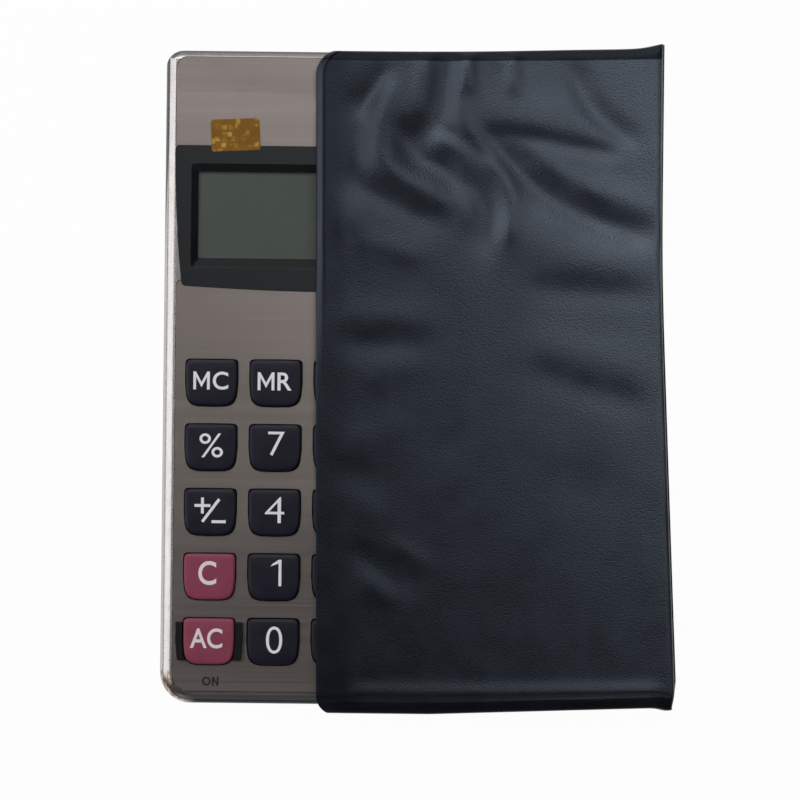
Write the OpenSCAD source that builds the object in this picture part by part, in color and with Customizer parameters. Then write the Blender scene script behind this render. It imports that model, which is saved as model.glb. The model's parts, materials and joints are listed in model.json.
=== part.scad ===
// Pocket calculator in its open-ended slip sleeve, lying face up.
// X runs to the right, Y towards the display end and Z up.
// The origin is under the middle of the whole object.

/* [Case] */
// Width of the case
case_w = 69; // [68.5:0.1:70]
// Length of the case
case_l = 127; // [126:0.5:130]
// Thickness of the case without its keys
case_t = 9; // [9:0.1:9.6]
// Radius of the two corners at the display end
head_corner_r = 3.4; // [3:0.1:4]
// Radius of the two corners at the keyboard end
foot_corner_r = 6; // [5.5:0.1:7]
// Radius of the rolled edges, except the one at the display end
edge_r = 2; // [1.8:0.1:2.1]
// Radius of the front edge at the display end
head_edge_r = 1.2; // [1:0.1:1.3]
// Width of the silver rim round the lower face plate
rim_w = 2.4; // [2.3:0.1:2.5]
// Thickness of the case walls
wall = 1.3; // [1.2:0.1:1.4]

/* [Keys] */
// Width of a key hole
key_w = 10.4; // [10:0.1:10.6]
// Length of a key hole
key_l = 9.4; // [9:0.1:9.8]
// Distance between key columns
pitch_x = 12.45; // [12.3:0.05:12.6]
// Distance between key rows
pitch_y = 12.55; // [12.4:0.05:12.7]
// Middle of the top row of keys, measured from the middle of the case
first_row_y = -1.1; // [-1.5:0.1:-0.5]
// How far the keys stand above the face
key_proud = 1; // [0.8:0.1:1.2]
// How far a key travels when it is pressed
key_travel = 0.9; // [0.7:0.1:0.9]
// Gap between a key and its hole
key_gap = 0.25; // [0.2:0.05:0.3]

/* [Display] */
// Width of the visible part of the display
view_w = 56; // [55:0.1:56]
// Length of the visible part of the display
view_l = 16.8; // [16:0.1:17.2]
// Middle of the display, measured from the middle of the case
view_y = 31.6; // [31.3:0.1:31.9]
// Top edge of the display surround
surround_top = 44.9; // [44.6:0.1:45.2]
// Bottom corners of the display surround
surround_foot = 17.8; // [17.6:0.1:18.2]

/* [Sleeve] */
// Width of the sleeve, from its mouth to its welded end
sleeve_w = 68.8; // [68:0.1:70]
// How far the case stands out of the sleeve
pulled_out = 30.4; // [20:0.1:36]
// Thickness of the vinyl
vinyl = 0.6; // [0.5:0.1:0.7]

/* [Hidden] */
$fn = 48;
over = 1;             // how far a cutter runs past what it cuts
fit = 0.1;            // gap between pieces that seat in each other

// Levels above the back of the case
parting_z = 4.2;
board_z = 2.6;
board_t = 1;
mat_z = board_z + board_t;
mat_t = 0.6;
plate_t = 0.5;
plate_z = case_t - plate_t;
frame_t = 1.7;
frame_z = plate_z - frame_t;
lip_w = 2.6;          // the rim's lip, measured from the outer edge
flange_t = 0.8;       // of the keys and of the frame's edge
flange_z = frame_z - fit - flange_t;
key_top = case_t + key_proud;
dome_top = flange_z - fit / 2;

// The sleeve round the case
under_gap = 0.2;      // case above the back panel
over_gap = 0.3;       // front panel above the keys
side_gap = 0.25;
case_z = vinyl + under_gap;
sleeve_h = case_z + key_top + over_gap + vinyl;
sleeve_l = case_l + 2 * (side_gap + vinyl);
seam_z = sleeve_h / 2;
bead = 0.5;           // how far the weld stands out of the sleeve's sides
bead_t = 0.5;         // thickness of each half of the weld
front_roll = 3.8;
back_roll = 3.3;
mouth_corner_r = 3.6;
end_corner_r = 1.6;
hem_at = 1.3;         // from the mouth to the pressed weld line
hem_w = 0.9;
hem_depth = 0.2;

// Places on the whole object
overall_w = pulled_out + sleeve_w;
case_x = (case_w - overall_w) / 2;
mouth_x = pulled_out - overall_w / 2;

// The key grid, and the names of its rows from the display end
columns = 5;
rows = 5;
KEYS = [
    ["key_mc", "key_mr", "key_m_minus", "key_m_plus", "key_root"],
    ["key_percent", "key_7", "key_8", "key_9", "key_divide"],
    ["key_sign", "key_4", "key_5", "key_6", "key_multiply"],
    ["key_c", "key_1", "key_2", "key_3", "key_minus"],
    ["key_ac", "key_0", "key_point", "key_equals", "key_plus"]
];
RED_KEYS = ["key_c", "key_ac"];
function column_x(c) = (c - (columns - 1) / 2) * pitch_x;
function row_y(r) = first_row_y - r * pitch_y;

// The guards beside the lower left key
guard_w = 1.25;
guard_l = 7.3;
guard_top = key_top - 0.15;

// The solar cell
solar_w = 29;
solar_l = 9.6;
solar_x = 13.6;
solar_y = 53;
solar_glass_t = 0.7;
solar_cell_t = 0.7;

// The button cell
cell_r = 5.8;
cell_t = 3.05;
cell_x = -19;
cell_y = 51.2;
contact_t = 0.2;

// Screws, in pairs: distance from the middle of the case, and place along it
SCREWS = [[29.2, 59.2], [20, 10.6], [27.6, -59]];
boss_r = 2.1;
pilot_r = 0.8;
boss_z = 2.5;
head_r = 1.6;
head_t = 0.8;
head_recess = 0.25;
shank_r = 0.77;

// Shared shapes

// A rectangle with its own radius at each corner: bottom left, bottom right, top right, top left
module rounded(size, radii) {
    difference() {
        square(size, center = true);
        for (i = [0:3])
            if (radii[i] > 0)
                translate([(i == 1 || i == 2 ? 1 : -1) * size.x / 2, (i > 1 ? 1 : -1) * size.y / 2])
                    difference() {
                        square(2 * radii[i], center = true);
                        translate([(i == 1 || i == 2 ? -1 : 1) * radii[i], (i > 1 ? -1 : 1) * radii[i]])
                            circle(radii[i]);
                    }
    }
}

// The case's outline seen from above, taken in by inset
module case_outline(inset) {
    head = max(head_corner_r - inset, 0.8);
    foot = max(foot_corner_r - inset, 0.8);
    rounded([case_w - 2 * inset, case_l - 2 * inset], [foot, foot, head, head]);
}

// What a corner of the case loses: all that lies outside a turned corner with rolled edges
module corner_waste(r, front_r) {
    difference() {
        translate([0, 0, -over]) cube([r + over, r + over, case_t + 2 * over]);
        rotate_extrude() translate([0, case_t / 2]) intersection() {
            rounded([2 * r, case_t], [edge_r, edge_r, front_r, front_r]);
            translate([0, -case_t]) square([r, 2 * case_t]);
        }
    }
}

// The case as one solid, with its rolled edges and corners
module case_solid() {
    difference() {
        intersection() {
            translate([0, case_l / 2, case_t / 2]) rotate([90, 0, 0]) linear_extrude(case_l)
                rounded([case_w, case_t], [edge_r, edge_r, edge_r, edge_r]);
            translate([-case_w / 2, 0, case_t / 2]) rotate([90, 0, 90]) linear_extrude(case_w)
                rounded([case_l, case_t], [edge_r, edge_r, head_edge_r, edge_r]);
        }
        for (side = [0, 1]) mirror([side, 0, 0]) {
            translate([case_w / 2 - head_corner_r, case_l / 2 - head_corner_r, 0])
                corner_waste(head_corner_r, head_edge_r);
            translate([case_w / 2 - foot_corner_r, foot_corner_r - case_l / 2, 0])
                mirror([0, 1, 0]) corner_waste(foot_corner_r, edge_r);
        }
    }
}

module slice(low, high) {
    translate([-case_w, -case_l, low]) cube([2 * case_w, 2 * case_l, high - low]);
}

// The key's outline: square at the head, round and narrower at the foot
key_points = 24;
head_squareness = 12;
foot_squareness = 4.4;
foot_taper = 0.06;
function power(v, e) = sign(v) * pow(abs(v), e);
function key_point(angle, grow) =
    let (
        e = 2 / (sin(angle) >= 0 ? head_squareness : foot_squareness),
        up = power(sin(angle), e),
        across = power(cos(angle), e)
    )
    [(key_w / 2 + grow) * across * (1 - foot_taper * max(0, -up)), (key_l / 2 + grow) * up];
function key_outline(grow) = [for (i = [0:key_points - 1]) key_point(360 * i / key_points, grow)];

module key_shape(grow) {
    polygon(key_outline(grow));
}

// Places its children at every key
module at_keys() {
    for (r = [0:rows - 1], c = [0:columns - 1])
        translate([column_x(c), row_y(r), 0]) children();
}

// The guards' outline beside the lower left key, grown by a gap
module guard_shape(grow) {
    translate([column_x(0), row_y(rows - 1)]) intersection() {
        key_shape(guard_w + grow);
        square([2 * key_w, guard_l + 2 * grow], center = true);
    }
}

module key_holes(grow) {
    at_keys() key_shape(grow);
    guard_shape(grow + fit);
}

module at_screws() {
    for (s = SCREWS, side = [-1, 1])
        translate([side * s.x, s.y, 0]) children();
}

// The display surround: sides that draw in and a bowed lower edge
surround_w = case_w - 2 * edge_r - 2 * fit;
surround_draw = 1.5;
surround_bow = 1;
surround_corner_r = 0.8;
side_steps = 8;
foot_steps = 16;
function surround_x(s) = surround_w / 2 - surround_draw * s * s;
function surround_side(s) = [surround_x(s), surround_top - s * (surround_top - surround_foot)];
function surround_lower(s) = [-s * surround_x(1), surround_foot - surround_bow * (1 - s * s)];

module surround_shape(grow) {
    right = [for (i = [0:side_steps]) surround_side(i / side_steps)];
    lower = [for (i = [1:foot_steps - 1]) surround_lower(2 * i / foot_steps - 1)];
    left = [for (i = [side_steps:-1:0]) [-surround_side(i / side_steps).x, surround_side(i / side_steps).y]];
    offset(r = surround_corner_r + grow)
        offset(delta = -surround_corner_r)
            polygon(concat(right, lower, left));
}

// Half of a metal plate field: a rectangle between two levels along Y, with its own corners
module plate_field(foot, head, inset, foot_r, head_r, gap) {
    size = [case_w - 2 * (inset + gap), head - foot - 2 * gap];
    translate([0, (head + foot) / 2]) rounded(size, [foot_r, foot_r, head_r, head_r]);
}
plate_seat = 0.05;    // rim left between the rolled edge and the upper plate
module upper_field(gap) {
    inset = edge_r + plate_seat;
    head = case_l / 2 - head_edge_r - plate_seat;
    plate_field(surround_top, head, inset, 0, head_corner_r - head_edge_r, gap);
}
module lower_field(gap) {
    plate_field(rim_w - case_l / 2, surround_foot + 1, rim_w, foot_corner_r - rim_w, 1, gap);
}

// Apertures under the surround and the solar window
tub_wall = 0.9;
window_edge = 1.2;    // part of the window that's hidden behind the surround
tub_w = view_w + 2 * (tub_wall + window_edge);
tub_l = view_l + 2 * (tub_wall + window_edge);
solar_corner_r = 0.8;
module tub_shape(grow) {
    translate([0, view_y]) square([tub_w + 2 * grow, tub_l + 2 * grow], center = true);
}
module solar_shape(grow) {
    r = solar_corner_r + grow;
    translate([solar_x, solar_y]) rounded([solar_w + 2 * grow, solar_l + 2 * grow], [r, r, r, r]);
}

// Case

rib_t = 0.8;
rib_xs = [-18.6, -6.2, 6.2, 18.6];
rib_ys = [-45, -19.8, 24, 42];
rib_foot = -56;       // lower end of the long ribs
rib_l = 60;
rib_w = 54;           // length of the cross ribs
root = 0.1;           // how far a rib or boss is sunk into what it stands on
boss_wall = 0.7;
well_wall = 1.1;
well_gap = 0.15;
slot_w = 4;           // opening in the well's side for the strip under the cell
head_gap = 0.1;
shank_gap = 0.2;
module rear_case() {
    rib_h = board_z - wall + root;
    color("dimgray") difference() {
        union() {
            difference() {
                intersection() {
                    case_solid();
                    slice(-over, parting_z);
                }
                translate([0, 0, wall]) linear_extrude(case_t) case_outline(wall);
            }
            // Ribs that carry the circuit board
            for (x = rib_xs)
                translate([x - rib_t / 2, rib_foot, wall - root]) cube([rib_t, rib_l, rib_h]);
            for (y = rib_ys)
                translate([-rib_w / 2, y - rib_t / 2, wall - root]) cube([rib_w, rib_t, rib_h]);
            at_screws() translate([0, 0, wall - root])
                cylinder(r = boss_r + boss_wall, h = boss_z - fit - wall + root);
            translate([cell_x, cell_y, wall - root]) cylinder(r = cell_r + well_wall, h = rib_h - fit);
        }
        // The button cell's well, with a slot for the strip under it
        translate([cell_x, cell_y, wall]) cylinder(r = cell_r + well_gap, h = case_t);
        translate([cell_x - slot_w / 2, cell_y - cell_r - slot_w, wall])
            cube([slot_w, cell_r + slot_w, case_t]);
        // Screw holes with sunk heads
        at_screws() {
            translate([0, 0, -over]) cylinder(r = shank_r + shank_gap, h = case_t);
            translate([0, 0, -over]) cylinder(r = head_r + head_gap, h = over + head_recess + head_t);
        }
    }
}

module front_rim() {
    color("silver") difference() {
        intersection() {
            case_solid();
            slice(parting_z, case_t + over);
        }
        translate([0, 0, parting_z - over]) linear_extrude(frame_z - parting_z + over) case_outline(wall);
        linear_extrude(plate_z) case_outline(lip_w);
        translate([0, 0, plate_z]) linear_extrude(case_t) {
            upper_field(0);
            lower_field(0);
            surround_shape(fit);
        }
    }
}

flange_w = 2.1;       // width of the frame's thin edge
solar_ledge = 0.8;    // what the solar cell rests on
pilot_end = 0.6;      // how far the screw holes run into the frame
module key_frame() {
    color([0.1, 0.1, 0.11]) difference() {
        union() {
            translate([0, 0, frame_z]) linear_extrude(frame_t) case_outline(lip_w + fit);
            // The flange that holds the rim down on the rear case
            translate([0, 0, frame_z - flange_t]) linear_extrude(flange_t) difference() {
                case_outline(wall + fit);
                case_outline(wall + fit + flange_w);
            }
            translate([0, 0, frame_z]) linear_extrude(guard_top - frame_z) guard_shape(0);
            at_screws() translate([0, 0, boss_z]) cylinder(r = boss_r, h = frame_z - boss_z + root);
        }
        translate([0, 0, frame_z - over]) linear_extrude(guard_top - frame_z + 2 * over) {
            at_keys() key_shape(0);
            tub_shape(fit);
            solar_shape(-solar_ledge);
        }
        translate([0, 0, case_t - solar_glass_t - solar_cell_t])
            linear_extrude(case_t) solar_shape(fit);
        at_screws() translate([0, 0, boss_z - over])
            cylinder(r = pilot_r, h = frame_z - boss_z + over + pilot_end);
    }
}

module upper_plate() {
    color([0.56, 0.53, 0.5]) translate([0, 0, plate_z]) linear_extrude(plate_t) difference() {
        upper_field(fit);
        solar_shape(fit);
    }
}

module lower_plate() {
    color([0.5, 0.47, 0.45]) translate([0, 0, plate_z]) linear_extrude(plate_t) difference() {
        lower_field(fit);
        surround_shape(fit);
        key_holes(0);
    }
}

// Display

slope_t = 1.3;
window_t = 0.7;
window_z = case_t - slope_t - window_t;
film_t = 0.2;
glass_t = 0.7;
tub_z = window_z - film_t;
recess_side = 1.3;    // how much wider the recess is at the face, on each side
recess_end = 1.7;
recess_drop = 0.2;    // how far its rim is shifted towards the keys
recess_corner_r = [0.8, 0.8, 0.8, 0.8];
view_corner_r = [0.4, 0.4, 0.4, 0.4];
leaf = 0.01;          // thin layer that a slope starts from
module display_bezel() {
    color([0.12, 0.12, 0.13]) difference() {
        union() {
            translate([0, 0, plate_z]) linear_extrude(plate_t) surround_shape(0);
            translate([0, 0, tub_z]) linear_extrude(plate_z - tub_z) tub_shape(0);
        }
        // The sloping sides of the recess
        hull() {
            translate([0, view_y, case_t - slope_t - leaf]) linear_extrude(leaf)
                rounded([view_w, view_l], view_corner_r, $fn = 32);
            translate([0, view_y - recess_drop, case_t]) linear_extrude(leaf)
                rounded([view_w + 2 * recess_side, view_l + 2 * recess_end], recess_corner_r, $fn = 32);
        }
        translate([0, 0, tub_z - over]) linear_extrude(window_z + window_t - tub_z + over)
            tub_shape(-tub_wall);
    }
}

module display_window() {
    color([0.8, 0.9, 0.85, 0.4])
        translate([0, 0, window_z]) linear_extrude(window_t) tub_shape(-tub_wall - fit / 2);
}

// A flat piece behind the display window, centred on the display
module display_layer(z, thickness, grow, ledge) {
    translate([-view_w / 2 - grow, view_y - view_l / 2 - grow - ledge, z])
        cube([view_w + 2 * grow, view_l + 2 * grow + ledge, thickness]);
}
glass_edge = 1;       // glass past the visible part, on each side
film_edge = 0.8;
ledge_l = 0.9;        // bare end of the front glass that meets the rubber connector
polariser_z = window_z - film_t;
module lcd_polariser() {
    color([0.42, 0.46, 0.41]) display_layer(polariser_z, film_t, film_edge, 0);
}
module lcd_glass() {
    color([0.75, 0.85, 0.8, 0.5]) {
        display_layer(polariser_z - glass_t, glass_t, glass_edge, ledge_l);
        display_layer(polariser_z - 2 * glass_t, glass_t, glass_edge, -ledge_l);
    }
}
module lcd_reflector() {
    color([0.7, 0.72, 0.7])
        display_layer(polariser_z - 2 * glass_t - film_t, film_t, film_edge, -ledge_l);
}
zebra_w = 1.5;
module zebra_strip() {
    color([0.85, 0.6, 0.65])
        translate([-view_w / 2, view_y - view_l / 2 - glass_edge - ledge_l, mat_z])
            cube([view_w, zebra_w, polariser_z - glass_t - mat_z]);
}

// Electronics

board_inset = wall + 0.8;
board_l = 112.8;
board_gap = 0.4;
module circuit_board() {
    color("darkgreen") translate([0, 0, board_z]) linear_extrude(board_t) difference() {
        intersection() {
            case_outline(board_inset);
            square([case_w, board_l], center = true);
        }
        at_screws() circle(boss_r + board_gap);
        translate([cell_x, cell_y]) circle(cell_r + board_gap);
    }
}

chip_r = 5.2;
chip_h = 1;
chip_y = 33;
capacitor = [1.2, 2, 0.6];
capacitor_xs = [9, 12, 15];
module chip_cover() {
    ball_r = (chip_r * chip_r + chip_h * chip_h) / (2 * chip_h);
    color([0.08, 0.08, 0.08]) translate([0, chip_y, board_z - chip_h]) rotate_extrude() intersection() {
        translate([0, ball_r]) circle(ball_r, $fn = 180);
        square([chip_r + over, chip_h]);
    }
}

module chip_capacitors() {
    color("tan") for (x = capacitor_xs)
        translate([x, chip_y + capacitor.y, board_z - capacitor.z]) cube(capacitor);
}

// One dome of the key mat: a thin cone with a plunger inside
dome_foot_r = 3.6;
dome_head_r = 2.5;
dome_wall = 0.45;
dome_brow = 0.4;      // straight part at the top of a dome
plunger_r = 1.4;
plunger_l = 0.7;
mat_edge = [2.2, 1.1];  // of the mat past the outer domes
module dome() {
    height = dome_top - mat_z;
    ceiling = height - dome_wall;
    inner_foot = dome_foot_r - dome_wall;
    rotate_extrude() polygon([
        [inner_foot, 0], [dome_foot_r, 0], [dome_foot_r, mat_t],
        [dome_head_r, height - dome_brow], [dome_head_r, height], [0, height],
        [0, ceiling - plunger_l], [plunger_r, ceiling - plunger_l], [plunger_r, ceiling],
        [dome_head_r - dome_wall, ceiling], [inner_foot, mat_t - fit]
    ]);
}
module key_mat() {
    mat_w = (columns - 1) * pitch_x + 2 * (dome_foot_r + mat_edge.x);
    mat_l = (rows - 1) * pitch_y + 2 * (dome_foot_r + mat_edge.y);
    color([0.75, 0.75, 0.72]) translate([0, 0, mat_z]) {
        linear_extrude(mat_t) difference() {
            translate([0, row_y((rows - 1) / 2)]) square([mat_w, mat_l], center = true);
            at_keys() circle(dome_foot_r - dome_wall / 2);
        }
        at_keys() dome();
    }
}

module solar_window() {
    color([0.2, 0.1, 0.12, 0.6]) translate([0, 0, case_t - solar_glass_t])
        linear_extrude(solar_glass_t) solar_shape(0);
}
module solar_cell() {
    color([0.16, 0.08, 0.09]) translate([solar_x, solar_y, case_t - solar_glass_t - solar_cell_t / 2])
        cube([solar_w - 4 * fit, solar_l - 4 * fit, solar_cell_t], center = true);
}
lead_r = 0.3;
lead_in = [11.5, 1.5];  // of the leads from the middle of the solar cell
module solar_leads() {
    top = case_t - solar_glass_t - solar_cell_t;
    color("crimson") for (side = [-1, 1])
        translate([solar_x + side * lead_in.x, solar_y - lead_in.y, mat_z])
            cylinder(r = lead_r, h = top - mat_z);
}

// The cell's narrow lower pole, its step and its bevelled edges
cell_z = wall + contact_t;
pole_in = 1;
pole_h = 0.3;
cell_bevel = 0.2;
module button_cell() {
    color("silver") translate([cell_x, cell_y, cell_z]) rotate_extrude() polygon([
        [0, 0], [cell_r - pole_in, 0], [cell_r - pole_in + fit, pole_h],
        [cell_r - cell_bevel, pole_h], [cell_r, pole_h + cell_bevel],
        [cell_r, cell_t - cell_bevel], [cell_r - cell_bevel, cell_t], [0, cell_t]
    ]);
}

// Strips of spring metal, bent at right angles
strip_w = 3;
strip_past = 3;       // of a strip past the cell's edge
plus_start = 1;       // from the middle of the cell
foot_l = 1.6;
module battery_minus_contact() {
    color([0.8, 0.75, 0.6]) translate([cell_x - strip_w / 2, cell_y - cell_r - strip_past, wall]) {
        cube([strip_w, cell_r + 2 * strip_past, contact_t]);
        cube([strip_w, contact_t, board_z - wall]);
    }
}
module battery_plus_contact() {
    top = cell_z + cell_t;
    reach = cell_r + strip_past;
    color([0.8, 0.75, 0.6]) translate([cell_x + plus_start, cell_y - strip_w / 2, 0]) {
        translate([0, 0, top]) cube([reach, strip_w, contact_t]);
        translate([reach - contact_t, 0, mat_z]) cube([contact_t, strip_w, top - mat_z + contact_t]);
        translate([reach - contact_t, 0, mat_z]) cube([foot_l, strip_w, contact_t]);
    }
}

drive_slot = [2.2, 0.5, 0.9];
tip_gap = 0.4;
module case_screws() {
    color("gray") at_screws() translate([0, 0, head_recess]) difference() {
        union() {
            cylinder(r = head_r, h = head_t);
            cylinder(r = shank_r, h = frame_z - head_recess - tip_gap);
        }
        for (turn = [0, 90]) rotate([0, 0, turn]) cube(drive_slot, center = true);
    }
}

// The foil sticker, stuck on a little askew
sticker = [9.5, 6.2, 0.08];
sticker_place = [-20.8, 47.1];
sticker_turn = 2.6;
sticker_corner_r = [0.5, 0.5, 0.7, 0.7];
module foil_sticker() {
    color("goldenrod") translate([sticker_place.x, sticker_place.y, case_t])
        rotate([0, 0, sticker_turn]) linear_extrude(sticker.z)
            rounded([sticker.x, sticker.y], sticker_corner_r);
}

// Keys

// A stack of key outlines, each taken in by ring.x at the height ring.y
module key_loft(rings) {
    n = key_points;
    levels = len(rings);
    points = [for (ring = rings) for (p = key_outline(-ring.x)) [p.x, p.y, ring.y]];
    sides = [for (k = [0:levels - 2]) for (i = [0:n - 1])
        [k * n + i, (k + 1) * n + i, (k + 1) * n + (i + 1) % n, k * n + (i + 1) % n]];
    foot = [for (i = [0:n - 1]) i];
    head = [for (i = [n - 1:-1:0]) (levels - 1) * n + i];
    polyhedron(points, concat([foot, head], sides));
}

// The cap's rounded head: how far each ring lies inside the stem and under the top
cap_z = case_t - 0.4;
cap_skin = 1.1;
flange_reach = 0.45;
CAP_RINGS = [[0, key_top - cap_z], [0.05, 0.5], [0.25, 0.2], [0.6, 0.07], [2.4, 0]];
module key_cap() {
    difference() {
        union() {
            translate([0, 0, flange_z]) linear_extrude(flange_t) key_shape(flange_reach);
            translate([0, 0, flange_z]) linear_extrude(cap_z - flange_z) key_shape(-key_gap);
            key_loft([for (ring = CAP_RINGS) [key_gap + ring.x, key_top - ring.y]]);
        }
        // Hollow underneath, round the post that the dome pushes
        translate([0, 0, flange_z - over]) linear_extrude(key_top - cap_skin - flange_z + over) difference() {
            key_shape(-key_gap - cap_skin);
            circle(dome_head_r);
        }
    }
}

module key(name) {
    place = [for (r = [0:rows - 1], c = [0:columns - 1]) if (KEYS[r][c] == name) [column_x(c), row_y(r), 0]];
    color(search([name], RED_KEYS)[0] == [] ? [0.13, 0.13, 0.17] : [0.45, 0.2, 0.27])
        translate(place[0]) key_cap();
}

// Sleeve

// The sleeve's closed form from its mouth to its end, taken in by inset
module sleeve_solid(inset) {
    past = inset > 0 ? over : 0;
    mouth_r = inset > 0 ? 0 : mouth_corner_r;
    end_r = end_corner_r - min(inset, bead);
    front = front_roll - inset;
    back = back_roll - inset;
    box = [sleeve_w - bead - inset + past, sleeve_l - 2 * inset, sleeve_h - 2 * inset];
    translate([box.x / 2 - past, 0, inset]) intersection() {
        linear_extrude(box.z) rounded([box.x, box.y], [mouth_r, end_r, end_r, mouth_r]);
        translate([0, box.y / 2 + over, box.z / 2]) rotate([90, 0, 0])
            linear_extrude(box.y + 2 * over) rounded([box.x, box.z], [0, back, front, 0]);
        translate([-box.x / 2 - over, 0, box.z / 2]) rotate([90, 0, 90])
            linear_extrude(box.x + 2 * over) rounded([box.y, box.z], [back, back, front, front]);
    }
}

// A shallow groove pressed into the skin, inside the band that is its child
module pressed_line() {
    intersection() {
        difference() {
            sleeve_solid(0);
            sleeve_solid(hem_depth);
        }
        children();
    }
}

// The half of the sleeve between two levels, with its half of the weld
module sleeve_half(low, high, bead_low) {
    corners = [mouth_corner_r, end_corner_r, end_corner_r, mouth_corner_r];
    difference() {
        union() {
            intersection() {
                sleeve_solid(0);
                translate([-over, -sleeve_l, low]) cube([sleeve_w + 2 * over, 2 * sleeve_l, high - low]);
            }
            translate([sleeve_w / 2, 0, bead_low]) linear_extrude(bead_t)
                rounded([sleeve_w, sleeve_l + 2 * bead], corners);
        }
        sleeve_solid(vinyl);
        pressed_line() translate([hem_at, -sleeve_l, -over]) cube([hem_w, 2 * sleeve_l, sleeve_h + 2 * over]);
    }
}

module sleeve_front() {
    color([0.19, 0.21, 0.24]) sleeve_half(seam_z, sleeve_h + over, seam_z);
}
module sleeve_back() {
    color([0.16, 0.18, 0.2]) sleeve_half(-over, seam_z, seam_z - bead_t);
}

// Places

module in_case() {
    translate([case_x, 0, case_z]) children();
}
module in_sleeve() {
    translate([mouth_x, 0, 0]) children();
}

in_case() rear_case();
in_case() front_rim();
in_case() key_frame();
in_case() upper_plate();
in_case() lower_plate();
in_case() display_bezel();
in_case() display_window();
in_case() lcd_polariser();
in_case() lcd_glass();
in_case() lcd_reflector();
in_case() zebra_strip();
in_case() circuit_board();
in_case() chip_cover();
in_case() chip_capacitors();
in_case() key_mat();
in_case() solar_window();
in_case() solar_cell();
in_case() solar_leads();
in_case() button_cell();
in_case() battery_minus_contact();
in_case() battery_plus_contact();
in_case() case_screws();
in_case() foil_sticker();
in_sleeve() sleeve_front();
in_sleeve() sleeve_back();
for (row = KEYS, name = row)
    in_case() key(name);
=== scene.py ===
import json
import math

import bmesh
import bpy
import numpy as np
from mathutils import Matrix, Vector, noise

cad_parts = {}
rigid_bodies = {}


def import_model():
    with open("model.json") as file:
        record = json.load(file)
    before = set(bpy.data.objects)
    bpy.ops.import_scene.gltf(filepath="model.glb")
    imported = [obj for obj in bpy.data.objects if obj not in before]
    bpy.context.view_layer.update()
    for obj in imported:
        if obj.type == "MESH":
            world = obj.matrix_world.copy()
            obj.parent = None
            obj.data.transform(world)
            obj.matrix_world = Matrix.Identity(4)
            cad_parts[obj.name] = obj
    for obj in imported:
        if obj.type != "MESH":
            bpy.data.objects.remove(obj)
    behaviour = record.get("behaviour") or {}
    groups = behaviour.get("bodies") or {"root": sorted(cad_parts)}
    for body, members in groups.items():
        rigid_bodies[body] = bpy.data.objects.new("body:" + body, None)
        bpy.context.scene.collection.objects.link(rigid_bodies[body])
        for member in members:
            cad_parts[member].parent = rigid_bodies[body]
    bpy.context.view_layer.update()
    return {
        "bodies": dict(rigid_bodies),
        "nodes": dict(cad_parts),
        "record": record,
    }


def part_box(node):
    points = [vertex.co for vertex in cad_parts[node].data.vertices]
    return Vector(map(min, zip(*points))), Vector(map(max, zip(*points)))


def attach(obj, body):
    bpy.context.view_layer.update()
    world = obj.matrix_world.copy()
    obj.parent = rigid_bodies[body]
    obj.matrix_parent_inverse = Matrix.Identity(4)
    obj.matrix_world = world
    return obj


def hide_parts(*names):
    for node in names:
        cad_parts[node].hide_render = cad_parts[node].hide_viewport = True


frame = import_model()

MM = 0.001

# Places taken from the frame
def box_mm(node):
    """Lowest and highest corner of a CAD node in millimetres."""
    low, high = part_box(node)
    return low / MM, high / MM


CASE_LOW, CASE_HIGH = box_mm("rear_case")
BEZEL_LOW, BEZEL_HIGH = box_mm("display_bezel")
SLEEVE_LOW, SLEEVE_HIGH = box_mm("sleeve_front")
RIM_TOP_Z = box_mm("front_rim")[1].z
FACE_Z = box_mm("lower_plate")[1].z
CASE_MIDDLE_X = (CASE_LOW.x + CASE_HIGH.x) / 2
CASE_HALF_W = (CASE_HIGH.x - CASE_LOW.x) / 2
KEYS = sorted(name for name in frame["bodies"] if name not in ("calculator", "sleeve"))


# Mesh tools
def add_object(name, mesh, smooth):
    mesh.polygons.foreach_set("use_smooth", [smooth] * len(mesh.polygons))
    made = bpy.data.objects.new(name, mesh)
    bpy.context.scene.collection.objects.link(made)
    return made


def add_mesh(name, points, faces, smooth=True):
    """A mesh object from points in millimetres."""
    mesh = bpy.data.meshes.new(name)
    mesh.from_pydata([[MM * float(value) for value in point] for point in points], [], faces)
    mesh.update()
    return add_object(name, mesh, smooth)


def dress(made, body, slot, finish, *nodes):
    """Gives a piece its body and its material, and hides the CAD nodes that it stands for."""
    made.data.materials.append(finish)
    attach(made, body)
    if nodes:
        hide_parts(*nodes)
    return made


def grid_faces(rows, columns):
    """Faces of a grid of points that is stored row by row, seen from above."""
    return [
        (r * columns + c, r * columns + c + 1, (r + 1) * columns + c + 1, (r + 1) * columns + c)
        for r in range(rows - 1)
        for c in range(columns - 1)
    ]


def ring_faces(levels, count):
    """Side faces of closed rings of count points each, stacked from the lowest up."""
    return [
        (
            k * count + i,
            k * count + (i + 1) % count,
            (k + 1) * count + (i + 1) % count,
            (k + 1) * count + i,
        )
        for k in range(levels - 1)
        for i in range(count)
    ]


def solidify(made, thickness):
    """Gives a surface its thickness, on the side away from its normals."""
    layer = made.modifiers.new("thickness", "SOLIDIFY")
    layer.thickness = thickness * MM
    layer.offset = -1
    layer.use_even_offset = False


def smooth_step(value):
    """0 up to 0, 1 from 1, and a smooth rise between."""
    value = np.clip(value, 0, 1)
    return value * value * (3 - 2 * value)


def bell(distance, width):
    """A round bump of height 1, down to 1/e at its width."""
    return np.exp(-((distance / width) ** 2))


# Material tools
def new_material(name):
    made = bpy.data.materials.new(name)
    made.use_nodes = True
    return made, made.node_tree, made.node_tree.nodes["Principled BSDF"]


def link(tree, value, socket):
    """Gives a socket another node's output or a plain value."""
    if isinstance(value, bpy.types.NodeSocket):
        tree.links.new(value, socket)
    else:
        socket.default_value = value


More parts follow.
